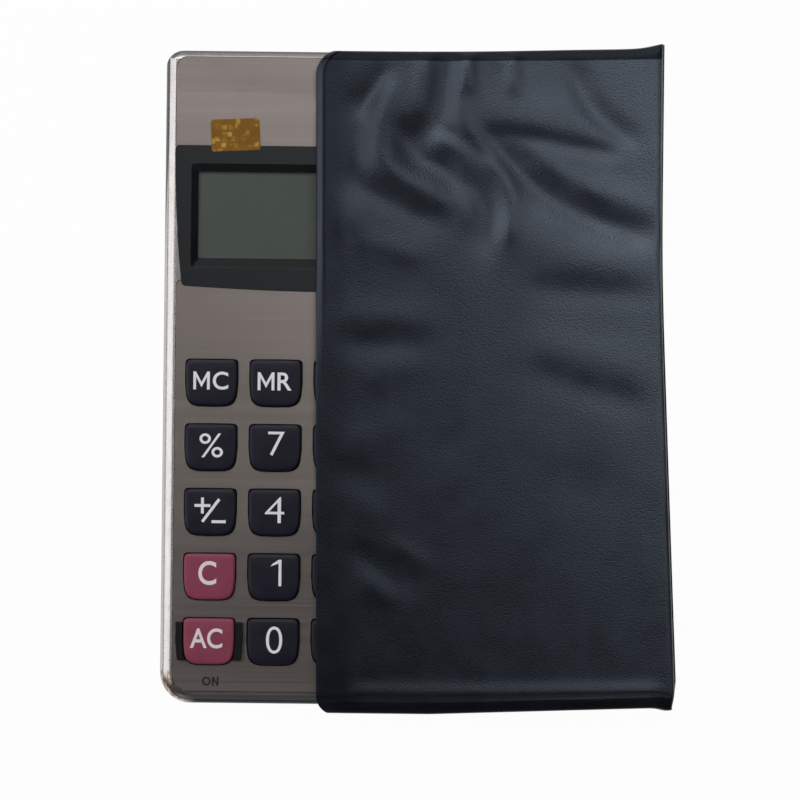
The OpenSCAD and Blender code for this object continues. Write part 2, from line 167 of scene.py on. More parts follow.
def put(tree, kind, inputs=None, **settings):
    """Adds a shader node, with values or links for its inputs."""
    made = tree.nodes.new(kind)
    for name, value in settings.items():
        setattr(made, name, value)
    for name, value in (inputs or {}).items():
        link(tree, value, made.inputs[name])
    return made


def place(tree, scale=(1, 1, 1), turn=0.0):
    """The object's own coordinates in millimetres, scaled along each axis."""
    origin = put(tree, "ShaderNodeTexCoord")
    inputs = {
        "Vector": origin.outputs["Object"],
        "Scale": [s / MM for s in scale],
        "Rotation": (0, 0, turn),
    }
    return put(tree, "ShaderNodeMapping", inputs).outputs["Vector"]


def noise_value(tree, vector, detail=2.0, rough=0.5, scale=1.0):
    inputs = {"Vector": vector, "Scale": scale, "Detail": detail, "Roughness": rough}
    return put(tree, "ShaderNodeTexNoise", inputs).outputs["Fac"]


def spread(tree, value, low, high, to_low=0.0, to_high=1.0, kind="SMOOTHSTEP"):
    """Maps a value between two limits to another range."""
    inputs = {
        "Value": value,
        "From Min": low,
        "From Max": high,
        "To Min": to_low,
        "To Max": to_high,
    }
    return put(tree, "ShaderNodeMapRange", inputs, interpolation_type=kind).outputs["Result"]


def math_node(tree, operation, first, second=0.0):
    made = put(tree, "ShaderNodeMath", operation=operation)
    link(tree, first, made.inputs[0])
    link(tree, second, made.inputs[1])
    return made.outputs["Value"]


def mix_colour(tree, share, first, second):
    """Mixes two colours, each of which is a plain colour or another node's output."""
    made = put(tree, "ShaderNodeMix", data_type="RGBA")
    link(tree, share, made.inputs[0])
    for socket, colour in ((made.inputs[6], first), (made.inputs[7], second)):
        plain = not isinstance(colour, bpy.types.NodeSocket)
        link(tree, (*colour, 1) if plain else colour, socket)
    return made.outputs[2]


def bump(tree, height, depth, strength=1.0, under=None):
    """A bump whose full height is depth millimetres."""
    inputs = {"Height": height, "Distance": depth * MM, "Strength": strength}
    if under is not None:
        inputs["Normal"] = under
    return put(tree, "ShaderNodeBump", inputs).outputs["Normal"]


def axis_value(tree, axis):
    """One coordinate of the object's surface in millimetres."""
    parts = put(tree, "ShaderNodeSeparateXYZ", {"Vector": place(tree)})
    return parts.outputs[axis]


def speckled(name, colour, rough, size=1.0, contrast=0.2, depth=0.01, metallic=0.0, shine=0.5):
    """A plain material whose tone, gloss and surface vary a little."""
    made, tree, shader = new_material(name)
    pattern = noise_value(tree, place(tree, [1 / size] * 3), 4.0, 0.6)
    darker = [c * (1 - contrast) for c in colour]
    lighter = [c * (1 + contrast) for c in colour]
    link(tree, mix_colour(tree, pattern, darker, lighter), shader.inputs["Base Color"])
    link(tree, spread(tree, pattern, 0.3, 0.7, rough * 0.85, rough * 1.15), shader.inputs["Roughness"])
    link(tree, bump(tree, pattern, depth), shader.inputs["Normal"])
    shader.inputs["Metallic"].default_value = metallic
    shader.inputs["Specular IOR Level"].default_value = shine
    return made


# The sleeve. Its outline follows the photographed one: the mouth and the closed end lean a little,
# and the weld runs out to a small ear at the upper right corner.
VINYL_T = 0.35
SEAM_Z = SLEEVE_LOW.z
TOP_Z = SLEEVE_HIGH.z - 0.2
MOUTH_LEAN = -0.0113
MOUTH_X = SLEEVE_LOW.x - 0.5
END_X = 47.6
END_LEAN = 0.045
HEAD_Y = 64.15
FOOT_Y = -65.35
HEAD_CORNER_R = 5.4
FOOT_CORNER_R = 4.0
HEAD_BOW_X = -15.0       # the head edge bows up from here to the right
PANEL_MIDDLE_X = 15.0
PANEL_HALF_W = 35.0
PANEL_HALF_L = 60.0
LIP_W = 1.25

# Materials
GRAIN_PER_MM = 3.0
GRAIN_DEPTH = 0.04
PLATE_TONE = (0.380, 0.329, 0.298)
LAND_RISE = 0.18         # how far the rim rises between its rolled edge and the lower plate


def vinyl_gloss(tree, across, along):
    """The vinyl is handled most at its mouth and foot and is duller there, most of all beside the
    lip. The upper part of the lip itself shines."""
    plain_gloss, rise_across, rise_along, fall_along = 0.6, 0.0145, 0.32, 0.28
    lip_shine, beside_loss = 0.40, 0.28
    up = math_node(tree, "DIVIDE", along, PANEL_HALF_L)
    slope = math_node(tree, "SUBTRACT", rise_along, math_node(tree, "MULTIPLY", up, fall_along))
    from_middle = math_node(tree, "SUBTRACT", across, PANEL_MIDDLE_X)
    power = math_node(tree, "MULTIPLY", from_middle, rise_across)
    power = math_node(tree, "ADD", power, math_node(tree, "MULTIPLY", up, slope))
    lip_end = math_node(tree, "MULTIPLY", along, MOUTH_LEAN)
    lip_end = math_node(tree, "ADD", lip_end, MOUTH_X + LIP_W)
    lip = spread(tree, math_node(tree, "SUBTRACT", lip_end, across), -0.1, 0.1)
    lip = math_node(tree, "MULTIPLY", lip, spread(tree, along, -12, 30))
    power = math_node(tree, "ADD", power, math_node(tree, "MULTIPLY", lip, lip_shine))
    from_lip = math_node(tree, "SUBTRACT", across, lip_end)
    power = math_node(tree, "SUBTRACT", power, spread(tree, from_lip, 1.5, 7.0, beside_loss, 0.0))
    return math_node(tree, "MULTIPLY", math_node(tree, "EXPONENT", power), plain_gloss)


def vinyl_dullness(tree, across, along):
    """Where the panel is pressed flat or rolled over at its welded sides, and is dull."""
    bow_root, head_share = 0.0158, 0.92      # squared, the root gives the head edge's own bow
    under = math_node(tree, "SUBTRACT", TOP_Z, axis_value(tree, "Z"))
    rolled = spread(tree, under, 0.06, 0.35)
    foot = math_node(tree, "MULTIPLY", spread(tree, along, FOOT_Y + 5.5, FOOT_Y + 4.5), rolled)
    end = math_node(tree, "MULTIPLY", spread(tree, across, END_X - 2.6, END_X - 1.8), rolled)
    bow = math_node(tree, "MULTIPLY", math_node(tree, "SUBTRACT", across, HEAD_BOW_X), bow_root)
    bow = math_node(tree, "POWER", bow, 2.0)
    from_head = math_node(tree, "SUBTRACT", math_node(tree, "ADD", bow, HEAD_Y), along)
    head = spread(tree, from_head, 2.85, 2.5, 0.0, head_share)
    weld = spread(tree, under, 2.5, 3.5)
    sides = math_node(tree, "MAXIMUM", math_node(tree, "MAXIMUM", foot, end), head)
    return math_node(tree, "MAXIMUM", sides, weld)


def vinyl():
    """Soft dark blue vinyl with a fine leather grain."""
    made, tree, shader = new_material("sleeve_vinyl")
    here = place(tree)
    cells = put(tree, "ShaderNodeTexVoronoi", {"Vector": here, "Scale": GRAIN_PER_MM})
    pebbles = math_node(tree, "SUBTRACT", 1.0, cells.outputs["Distance"])
    patches = noise_value(tree, here, 3.0, 0.55, 0.16)
    tone = spread(tree, patches, 0.35, 0.7)
    base = mix_colour(tree, tone, (0.0035, 0.0045, 0.0075), (0.0055, 0.007, 0.011))
    link(tree, base, shader.inputs["Base Color"])
    link(tree, spread(tree, patches, 0.3, 0.7, 0.36, 0.44), shader.inputs["Roughness"])
    across, along = axis_value(tree, "X"), axis_value(tree, "Y")
    gloss = vinyl_gloss(tree, across, along)
    darkening = vinyl_dullness(tree, across, along)
    link(tree, spread(tree, darkening, 0, 1, gloss, 0.06, "LINEAR"), shader.inputs["Specular IOR Level"])
    shader.inputs["IOR"].default_value = 1.7
    shader.inputs["Specular Tint"].default_value = (0.70, 0.82, 1.0, 1)
    link(tree, bump(tree, pebbles, GRAIN_DEPTH), shader.inputs["Normal"])
    return made


def plate_metal():
    """Champagne aluminium, brushed across, with a few faint smudges."""
    made, tree, shader = new_material("face_plate")
    streaks = noise_value(tree, place(tree, (0.02, 5.0, 1.0)), 3.0, 0.6)
    bands = noise_value(tree, place(tree, (0.01, 1.1, 1.0)), 2.0, 0.5)
    smudges = noise_value(tree, place(tree, (0.11, 0.16, 1.0)), 2.0, 0.5)
    brushed = math_node(tree, "MULTIPLY", streaks, 0.6)
    brushed = math_node(tree, "ADD", brushed, math_node(tree, "MULTIPLY", bands, 0.4))
    share = spread(tree, brushed, 0.35, 0.65)
    tone = mix_colour(tree, share, (0.368, 0.320, 0.298), (0.392, 0.342, 0.320))
    smudged = spread(tree, smudges, 0.55, 0.75, 0.0, 0.18)
    link(tree, mix_colour(tree, smudged, tone, (0.32, 0.265, 0.25)), shader.inputs["Base Color"])
    link(tree, spread(tree, brushed, 0.3, 0.7, 0.31, 0.37), shader.inputs["Roughness"])
    link(tree, bump(tree, brushed, 0.012, 0.5), shader.inputs["Normal"])
    shader.inputs["Metallic"].default_value = 1
    shader.inputs["Anisotropic"].default_value = 0.5
    return made


def rim_side_tone(tree, along, up):
    """Bright silver, and painted dark on the outer side as a painted dark reflection: low down beside the
    keys, further up at the head.
    """
    painted_dark_from = spread(tree, along, 20, 48, RIM_TOP_Z - 1.25, RIM_TOP_Z - 0.42)
    # painted dark reflection: below this height the rim's outer side is painted dark
    darkening = spread(tree, math_node(tree, "SUBTRACT", painted_dark_from, up), -0.1, 0.12)
    return mix_colour(tree, darkening, (0.53, 0.51, 0.50), (0.12, 0.12, 0.12))


def rim_end_tone(tree, foot, up):
    """The head and foot edges: like the plates on top, and painted darker where they turn down, which is
    painted shade.
    """
    under = math_node(tree, "SUBTRACT", RIM_TOP_Z, up)
    turned = spread(tree, under, 0.0, 0.008)
    # painted shade: the turned-down head and foot edges are painted darker the lower they lie
    head_painted_shade, foot_painted_shade = spread(tree, under, 0.45, 0.65), spread(tree, under, 0.25, 0.45)
    head_tone = mix_colour(tree, head_painted_shade, (0.180, 0.168, 0.160), (0.12, 0.113, 0.108))
    foot_tone = mix_colour(tree, foot_painted_shade, (0.20, 0.20, 0.21), (0.035, 0.035, 0.035))
    return mix_colour(tree, turned, PLATE_TONE, mix_colour(tree, foot, head_tone, foot_tone))


def rim_rubbed(tree, wear):
    """The place at the lower left corner where the plating is rubbed through."""
    distance = put(tree, "ShaderNodeVectorMath", operation="DISTANCE")
    link(tree, place(tree), distance.inputs[0])
    link(tree, (CASE_LOW.x + 2.6, CASE_LOW.y + 4.2, FACE_Z), distance.inputs[1])
    near = spread(tree, distance.outputs["Value"], 2.5, 6.0, 1.0, 0.0)
    return math_node(tree, "MULTIPLY", near, spread(tree, wear, 0.5, 0.62))


def rim_silver():
    """Silver plating, a little glossier than the plates. It looks like the plates at the head and
    foot, carries painted dark reflection and painted shade where its edges turn down, and rises softly
    beside the lower plate."""
    made, tree, shader = new_material("silver_rim")
    along, across, up = axis_value(tree, "Y"), axis_value(tree, "X"), axis_value(tree, "Z")
    wear = noise_value(tree, place(tree, (0.9, 0.35, 0.9)), 4.0, 0.6)
    head = spread(tree, along, CASE_HIGH.y - 1.8, CASE_HIGH.y - 0.9)
    foot = spread(tree, along, CASE_LOW.y + 2.8, CASE_LOW.y + 1.5)
    off_corner = spread(tree, across, CASE_LOW.x + 3.5, CASE_LOW.x + 7.5)
    foot = math_node(tree, "MULTIPLY", foot, off_corner)
    ends = math_node(tree, "MAXIMUM", head, foot)
    tone = mix_colour(tree, ends, rim_side_tone(tree, along, up), rim_end_tone(tree, foot, up))
    tone = mix_colour(tree, rim_rubbed(tree, wear), tone, (0.30, 0.15, 0.06))
    link(tree, tone, shader.inputs["Base Color"])
    rough = spread(tree, wear, 0.35, 0.75, 0.24, 0.32)
    rough = math_node(tree, "ADD", rough, math_node(tree, "MULTIPLY", ends, 0.20))
    link(tree, rough, shader.inputs["Roughness"])
    from_middle = math_node(tree, "ABSOLUTE", math_node(tree, "SUBTRACT", across, CASE_MIDDLE_X))
    rise = spread(tree, from_middle, CASE_HALF_W - 2.5, CASE_HALF_W - 1.2, 1.0, 0.0, "LINEAR")
    rise = math_node(tree, "MULTIPLY", rise, math_node(tree, "SUBTRACT", 1.0, ends))
    link(tree, bump(tree, rise, LAND_RISE, 1.0, bump(tree, wear, 0.02, 0.5)), shader.inputs["Normal"])
    shader.inputs["Metallic"].default_value = 1
    return made


def bezel_gloss():
    """Glossy black, with a dull slope at the foot of the display."""
    made, tree, shader = new_material("bezel_black")
    sunk = math_node(tree, "SUBTRACT", BEZEL_HIGH.z, axis_value(tree, "Z"))
    foot = spread(tree, axis_value(tree, "Y"), BEZEL_LOW.y + 12, BEZEL_LOW.y + 9)
    slope = math_node(tree, "MULTIPLY", foot, spread(tree, sunk, 0.003, 0.03))
    link(tree, spread(tree, slope, 0, 1, 0.5, 0.08, "LINEAR"), shader.inputs["Specular IOR Level"])
    dust = noise_value(tree, place(tree), 5.0, 0.7, 1.4)
    dusty = spread(tree, dust, 0.55, 0.85)
    tone = mix_colour(tree, dusty, (0.010, 0.012, 0.015), (0.014, 0.016, 0.019))
    link(tree, tone, shader.inputs["Base Color"])
    link(tree, spread(tree, dust, 0.4, 0.8, 0.25, 0.29), shader.inputs["Roughness"])
    link(tree, bump(tree, dust, 0.002, 0.4), shader.inputs["Normal"])
    return made


def key_plastic(name, colour):
    """Satin moulded plastic with a very fine grain."""
    made, tree, shader = new_material(name)
    grain = noise_value(tree, place(tree), 3.0, 0.6, 6.0)
    patches = noise_value(tree, place(tree), 2.0, 0.5, 0.3)
    darker = [c * 0.85 for c in colour]
    lighter = [c * 1.15 for c in colour]
    link(tree, mix_colour(tree, patches, darker, lighter), shader.inputs["Base Color"])
    link(tree, spread(tree, patches, 0.3, 0.7, 0.40, 0.50), shader.inputs["Roughness"])
    link(tree, bump(tree, grain, 0.008, 0.6), shader.inputs["Normal"])
    shader.inputs["Specular IOR Level"].default_value = 0.3
    return made


def clear_plastic(name, tint, mirror):
    """A clear sheet: it lets light through and reflects at its surface."""
    made, tree, shader = new_material(name)
    tree.nodes.remove(shader)
    waves = noise_value(tree, place(tree), 2.0, 0.5, 0.08)
    normal = bump(tree, waves, 0.05, 0.4)
    clear = put(tree, "ShaderNodeBsdfTransparent", {"Color": (*tint, 1)})
    gloss = put(tree, "ShaderNodeBsdfGlossy", {"Roughness": mirror, "Normal": normal})
    facing = put(tree, "ShaderNodeFresnel", {"IOR": 1.49, "Normal": normal})
    both = put(tree, "ShaderNodeMixShader", {0: facing.outputs["Fac"]})
    link(tree, clear.outputs["BSDF"], both.inputs[1])
    link(tree, gloss.outputs["BSDF"], both.inputs[2])
    link(tree, both.outputs["Shader"], tree.nodes["Material Output"].inputs["Surface"])
    return made


def display_film():
    """Grey-green polarising film of a blank display."""
    made, tree, shader = new_material("polariser")
    patches = noise_value(tree, place(tree), 2.0, 0.5, 0.09)
    fine = noise_value(tree, place(tree), 2.0, 0.5, 7.0)
    link(tree, mix_colour(tree, patches, (0.120, 0.144, 0.118), (0.140, 0.168, 0.137)),
         shader.inputs["Base Color"])
    link(tree, spread(tree, fine, 0.3, 0.7, 0.5, 0.6), shader.inputs["Roughness"])
    return made


def gold_foil():
    """Amber foil with a pattern of small plain squares."""
    made, tree, shader = new_material("gold_foil")
    here = place(tree, (1, 1, 1), math.radians(-2.6))
    blocks = put(tree, "ShaderNodeTexVoronoi", {"Vector": here, "Scale": 0.8, "Randomness": 0.55},
                 distance="CHEBYCHEV")
    patches = noise_value(tree, here, 2.0, 0.5, 0.45)
    square = spread(tree, blocks.outputs["Distance"], 0.30, 0.42, 1.0, 0.0)
    share = math_node(tree, "MULTIPLY", square, spread(tree, patches, 0.4, 0.6))
    dark = mix_colour(tree, patches, (0.205, 0.088, 0.006), (0.275, 0.130, 0.008))
    link(tree, mix_colour(tree, share, dark, (0.55, 0.32, 0.05)), shader.inputs["Base Color"])
    link(tree, spread(tree, patches, 0.3, 0.7, 0.32, 0.45), shader.inputs["Roughness"])
    link(tree, bump(tree, square, 0.01, 0.5), shader.inputs["Normal"])
    shader.inputs["Metallic"].default_value = 0.45
    return made


def printed(name, colour):
    """Opaque print, a little uneven."""
    return speckled(name, colour, 0.5, 0.4, 0.06, 0.003)


# After its colour, speckled takes the roughness, the size of the speckles in millimetres, how much
# they differ, their depth, how metallic the material is and its gloss.
FINISH = {
    "rear_plastic": speckled("rear_plastic", (0.013, 0.013, 0.014), 0.55, 0.35, 0.15, 0.03),
    "silver_rim": rim_silver(),
    "black_frame": speckled("black_frame", (0.008, 0.008, 0.009), 0.45, 0.5, 0.2, 0.01, 0.0, 0.22),
    "face_plate": plate_metal(),
    "bezel_black": bezel_gloss(),
    "clear_window": clear_plastic("clear_window", (0.96, 0.98, 0.96), 0.05),
    "polariser": display_film(),
    "display_glass": clear_plastic("display_glass", (0.80, 0.86, 0.80), 0.02),
    "reflector": speckled("reflector", (0.55, 0.56, 0.54), 0.4, 0.3, 0.08, 0.004, 1.0),
    "zebra_rubber": speckled("zebra_rubber", (0.50, 0.33, 0.34), 0.6, 0.2, 0.25, 0.01),
    "board_green": speckled("board_green", (0.010, 0.075, 0.030), 0.35, 1.6, 0.25, 0.01),
    "epoxy_black": speckled("epoxy_black", (0.008, 0.008, 0.008), 0.3, 2.0, 0.2, 0.05),
    "capacitor_tan": speckled("capacitor_tan", (0.36, 0.24, 0.13), 0.5, 0.4, 0.15, 0.01),
    "mat_rubber": speckled("mat_rubber", (0.40, 0.40, 0.38), 0.6, 0.6, 0.08, 0.01),
    "solar_glass": clear_plastic("solar_glass", (0.80, 0.72, 0.74), 0.04),
    "solar_dark": speckled("solar_dark", (0.022, 0.010, 0.012), 0.25, 3.0, 0.3, 0.002),
    "lead_copper": speckled("lead_copper", (0.70, 0.42, 0.26), 0.3, 0.3, 0.1, 0.003, 1.0),
    "cell_steel": speckled("cell_steel", (0.62, 0.62, 0.61), 0.25, 0.8, 0.08, 0.004, 1.0),
    "contact_spring": speckled("contact_spring", (0.66, 0.56, 0.36), 0.3, 0.6, 0.1, 0.004, 1.0),
    "screw_steel": speckled("screw_steel", (0.36, 0.36, 0.37), 0.35, 0.3, 0.15, 0.005, 1.0),
    "gold_foil": gold_foil(),
    "navy_key": key_plastic("navy_key", (0.0085, 0.0075, 0.018)),
    "maroon_key": key_plastic("maroon_key", (0.275, 0.054, 0.096)),
    "sleeve_vinyl": vinyl(),
}


# Bevel of the sharp edges of CAD nodes that are shown as they are
EDGE_BEVELS = {"lower_plate": 0.14, "upper_plate": 0.10, "display_bezel": 0.16}


def slot_of(node):
    for subpart in frame["record"]["subparts"]:
        if subpart["node"] == node:
            return subpart["material_slot"]


def dress_frame():
    """Gives every CAD node the finish of its slot."""
    for node, made in frame["nodes"].items():
        made.data.materials.clear()
        made.data.materials.append(FINISH[slot_of(node)])
    for node, width in EDGE_BEVELS.items():
        edge = frame["nodes"][node].modifiers.new("edge", "BEVEL")
        edge.width = width * MM
        edge.segments = 2
        edge.limit_method = "ANGLE"
        edge.angle_limit = math.radians(40)


# The sleeve's shape
EDGES = {
    # side: width of the weld, of the steep turn and of the slope above it, and the slope's depth
    "head": (0.12, 0.55, 2.4, 0.95),
    "foot": (0.25, 0.50, 4.1, 1.90),
    "end": (0.45, 0.75, 1.7, 0.55),
}
STEEP_COUNT = 10
STEEP_POWER = 2.4
SLOPE_POWER = 1.6
SLOPE_STEP = 0.25
CORNER_POWER = 2.5       # how the drops of two sides blend at a corner
BACK_SLOPE = 0.45        # the back panel's slopes are shallower, to clear the pushed-home case
GRID_STEP = 0.5
MOUTH_STEPS = (0, 0.06, 0.14, 0.24, 0.36, 0.5, 0.66, 0.84, 1.02, 1.2, 1.38, 1.56, 1.74, 1.92,
               2.1, 2.3, 2.55, 2.85, 3.2, 3.6)     # distances from the mouth, closest at its lip
KEY_ROOM = 0.28          # how far the folds may sink over the keys, and over the rest of the face
FACE_ROOM = 1.2
FACE_FROM_Y = 5.0        # just past the head edge of the first row of keys
WAVES = ((18.0, 0.10), (8.0, 0.06))      # length and height of slow random waves in the panel


def mouth_x(y):
    """The mouth's edge, with its corners cut round."""
    head = np.clip(HEAD_CORNER_R - (HEAD_Y - y), 0, HEAD_CORNER_R)
    foot = np.clip(FOOT_CORNER_R - (y - FOOT_Y), 0, FOOT_CORNER_R)
    cut = HEAD_CORNER_R - np.sqrt(np.maximum(0, HEAD_CORNER_R**2 - head**2))
    cut = cut + FOOT_CORNER_R - np.sqrt(np.maximum(0, FOOT_CORNER_R**2 - foot**2))
    return MOUTH_X + MOUTH_LEAN * y + cut


def end_x(y):
    """The closed end: straight at the head, leaning out towards the foot and cut at that corner."""
    bend, lean_from_y = 5.0, 20
    lean = END_LEAN * bend * np.log1p(np.exp((lean_from_y - y) / bend))
    corner_cut = 0.9 * smooth_step((-59.5 - y) / 6)
    return END_X + lean - corner_cut


def head_y(x):
    """The head edge: bowed, a little lower towards the mouth, with an ear at the far corner."""
    bow = 0.00025 * (x - HEAD_BOW_X) ** 2
    ear = 0.95 * bell(x - 48, 4)
    fall = 0.22 * smooth_step((34 - x) / 30)
    return HEAD_Y + bow + ear - fall


def foot_y(x):
    """The foot edge: it leans in towards the end and runs out to a small ear there."""
    lean = 0.038 * np.maximum(0, x - 3)
    ear = 0.55 * bell(x - 49.5, 1.8)
    return FOOT_Y - 0.15 + lean - ear


def edge_steps(side):
    """Distances from a welded edge at which the panel is sampled, closest where it is steep."""
    weld, steep, slope, _ = EDGES[side]
    angle = np.linspace(0, math.pi / 2, STEEP_COUNT + 1)
    turn = weld + steep * (1 - np.cos(angle) ** (2 / STEEP_POWER))
    count = round((slope - steep) / SLOPE_STEP)
    return np.concatenate([[0.0], turn, np.linspace(weld + steep, weld + slope, count + 1)[1:]])


def edge_drop(side, distance, height, share):
    """How far a panel lies under its flat, at a distance from a welded edge. The share is how much
    of the slope's depth it has."""
    weld, steep, slope, depth = EDGES[side]
    depth = depth * share
    away = np.maximum(distance - weld, 0)
    inner = np.clip(1 - away / steep, 0, 1)
    turn = 1 - (1 - inner**STEEP_POWER) ** (1 / STEEP_POWER)
    return depth * np.clip(1 - away / slope, 0, 1) ** SLOPE_POWER + (height - depth) * turn


def between(low, high, step):
    """Even steps from low to high, without its two ends."""
    count = max(2, round((high - low) / step))
    return np.linspace(low, high, count + 1)[1:-1]


def sleeve_grid():
    """Points across one panel: rows from the foot to the head, columns from the mouth to the end."""
    length = HEAD_Y - FOOT_Y
    width = END_X - MOUTH_X
    foot, head, end = edge_steps("foot"), edge_steps("head"), edge_steps("end")
    rows = np.concatenate([
        FOOT_Y + foot,
        between(FOOT_Y + foot[-1], HEAD_Y - head[-1], GRID_STEP),
        (HEAD_Y - head)[::-1],
    ])
    mouth = np.array(MOUTH_STEPS)
    columns = np.concatenate([
        mouth,
        between(mouth[-1], width - end[-1], GRID_STEP),
        (width - end)[::-1],
    ])
    y, a = np.meshgrid(rows, columns, indexing="ij")
    start, stop = mouth_x(y), end_x(y)
    x = start + a + (stop - start - width) * smooth_step(a / width)
    share = smooth_step((y - FOOT_Y) / length)
    y = y + share * (head_y(x) - HEAD_Y) + (1 - share) * (foot_y(x) - FOOT_Y)
    return x, y, a


def combined_drop(x, y, height, share=1.0):
    """The drops at the three welded sides, blended at the corners."""
    inward = {"head": head_y(x) - y, "foot": y - foot_y(x), "end": end_x(y) - x}
    total = np.zeros_like(x)
    for side, distance in inward.items():
        total += edge_drop(side, distance, height, share) ** CORNER_POWER
    return np.minimum(height, total ** (1 / CORNER_POWER))


# Folds in the front panel: points along each in millimetres, its height and its width. They were
# placed over the photograph. Light comes from the head and the left, so a valley's line lies
# a little to the foot or the right of the dark band that it makes.
FOLDS = [
    ("valley_s", [(4.5, 63), (4, 56), (2, 49), (-2.5, 45), (1, 42.5), (5, 41), (9, 38),
                  (12, 35), (13, 31), (13, 25)], -0.7, 3.0),
    ("ridge_s", [(-5.5, 58), (-6, 53), (-7.5, 47), (-7.5, 42), (-3, 38), (4, 34.5)], 0.9, 3.5),
    ("ridge_t", [(1.5, 62), (0.5, 56), (-1, 50)], 0.8, 2.5),
    ("pocket", [(-4.5, 50), (-3, 45.5)], -0.3, 2.0),
    ("ridge_u", [(2, 46.5), (7, 44), (9.5, 38), (9.5, 30)], 0.45, 2.5),
    ("valley_h", [(-14, 39), (-9, 36.5), (-3, 34), (3, 30.5)], -0.6, 3.0),
    ("ridge_c", [(8, 62), (7.5, 55), (8.5, 49), (13, 43.5), (16.5, 39), (18, 33), (17, 27)], 0.5, 2.2),
    ("crease_c", [(5, 48.5), (9, 46), (13, 42.5)], -0.3, 1.5),
    ("valley_c", [(12, 47.5), (16, 44), (20, 40.5), (25, 36), (30, 33), (36, 30.5), (44, 28)], -0.7, 2.8),
    ("ridge_p", [(21, 42.5), (29, 39), (36, 36), (44, 33.5)], 0.4, 3.0),
    ("valley_d", [(14, 48), (21, 47), (29, 45.5), (38, 44)], -0.35, 1.8),
    ("ridge_q", [(12, 51), (22, 50.5), (34, 48.5)], 0.7, 6.0),
    ("valley_e", [(29.5, 61), (32, 54.5), (35.5, 50.5), (41, 46.5)], -0.55, 2.4),
    ("ridge_f", [(9, 63), (9.5, 56)], 0.5, 1.6),
    ("ridge_g", [(17.5, 63), (18, 56)], 0.5, 1.6),
    ("valley_i", [(-13, 52), (-10, 55), (-7, 60)], -0.6, 2.4),
    ("valley_u", [(-12.5, 55), (-12.5, 46), (-15, 38)], -0.5, 3.5),
    ("valley_mouth", [(-16, 34), (-16, 12)], -0.3, 3.0),
    ("ridge_o", [(-14, 33), (-13, 28)], 0.6, 3.5),
    ("ridge_j", [(-11, 27), (0, 23.5)], 0.4, 3.0),
    ("ridge_r", [(17, 30), (25, 25), (34, 22.5), (44, 22)], 0.55, 5.5),
    ("valley_k", [(22, 18), (33, 17.5), (44, 17)], -0.3, 3.0),
    ("ridge_n", [(-14, 12), (-6, 11.5), (1, 11.5)], 0.35, 4.0),
    ("valley_n", [(-15, 7.5), (1, 7)], -0.3, 3.0),
    ("ridge_x", [(22, 6.5), (32, 4.5), (43, 1.5)], 0.4, 5.0),
    ("valley_l", [(23, 2), (31, -1), (43, -4)], -0.25, 3.0),
    ("ridge_w", [(-12, 0), (-2, 3)], 0.3, 4.0),
    ("ridge_v", [(-15, -12), (-3.5, -10)], 0.2, 4.0),
    ("valley_v", [(-15, -17.5), (-6, -19.5)], -0.2, 3.0),
    ("ridge_y", [(20, -9.5), (39, -12.5)], 0.15, 6.0),
    ("valley_y", [(28, -19), (43, -23)], -0.15, 5.0),
    ("ridge_a", [(-14, -23.5), (-5, -27.5)], 0.2, 3.0),
    ("ridge_m", [(-5, -31.5), (2.5, -36.5)], 0.3, 2.2),
    ("valley_m", [(-12.5, -32.5), (-1.5, -40)], -0.4, 2.5),
    ("ridge_b", [(-10.5, -38), (-5.5, -43)], 0.3, 2.2),
    ("ridge_foot", [(-12, -60.6), (10, -60.6), (30, -60.2), (47, -59.8)], 0.5, 1.6),
]


def curve_through(points, step):
    """A smooth line through the points, as a Catmull-Rom spline, sampled about every step."""
    p = np.array(points, float)
    p = np.vstack([2 * p[0] - p[1], p, 2 * p[-1] - p[-2]])
    line = []
    for i in range(1, len(p) - 2):
        count = math.ceil(math.hypot(*(p[i + 1] - p[i])) / step)
        for t in np.arange(count) / count:
            line.append(0.5 * (2 * p[i] + (p[i + 1] - p[i - 1]) * t
                               + (2 * p[i - 1] - 5 * p[i] + 4 * p[i + 1] - p[i + 2]) * t**2
                               + (3 * p[i] - p[i - 1] - 3 * p[i + 1] + p[i + 2]) * t**3))
    line.append(p[-2])
    return np.array(line)


def fold_height(x, y, points, height, width):
    """One fold's height: soft round bells set close together along its line."""
    line = curve_through(points, width / 2)
    lengths = np.hypot(*np.diff(line, axis=0).T)
    share = (np.append(lengths, 0) + np.append(0, lengths)) / 2
    total = np.zeros(x.shape)
    for (px, py), length in zip(line, share):
        total += length * bell(np.hypot(x - px, y - py), width)
    return height * total / (width * math.sqrt(math.pi))


def hem(a, y):
    """The mouth's turned lip and the pressed step behind it, which fade out towards the foot. The
    hem is double, so the panel stands a little higher there."""
    lip_drop, edge_drop_z, edge_w = 0.58, 0.30, 0.12
    step_rise, step_w, hem_rise, hem_w = 0.28, 0.75, 0.20, 5.5
    share = 0.12 + 0.88 * smooth_step((y + 12) / 42)
    lip = -lip_drop * share * np.clip(1 - a / LIP_W, 0, 1)
    edge = -edge_drop_z * share * np.exp(-a / edge_w)
    step = step_rise * share * smooth_step((LIP_W + step_w - a) / step_w)
    return lip + edge + step + hem_rise * smooth_step((hem_w - a) / 4)


def broad_lift(x, y):
    """The slow rise and fall of the whole panel."""
    across = (x - PANEL_MIDDLE_X) / PANEL_HALF_W
    along = y / PANEL_HALF_L
    return 0.10 * across**2 - 0.08 * across + 0.20 * along**2 + 0.15 * along


def wave_height(x, y, seed, length, height):
    """Slow random waves. Each seed is a layer of its own in the noise."""
    layer = seed * 9.0
    places = zip(x.flat, y.flat)
    wave = [noise.noise(Vector((px / length, py / length, layer))) for px, py in places]
    return height * np.array(wave).reshape(x.shape)


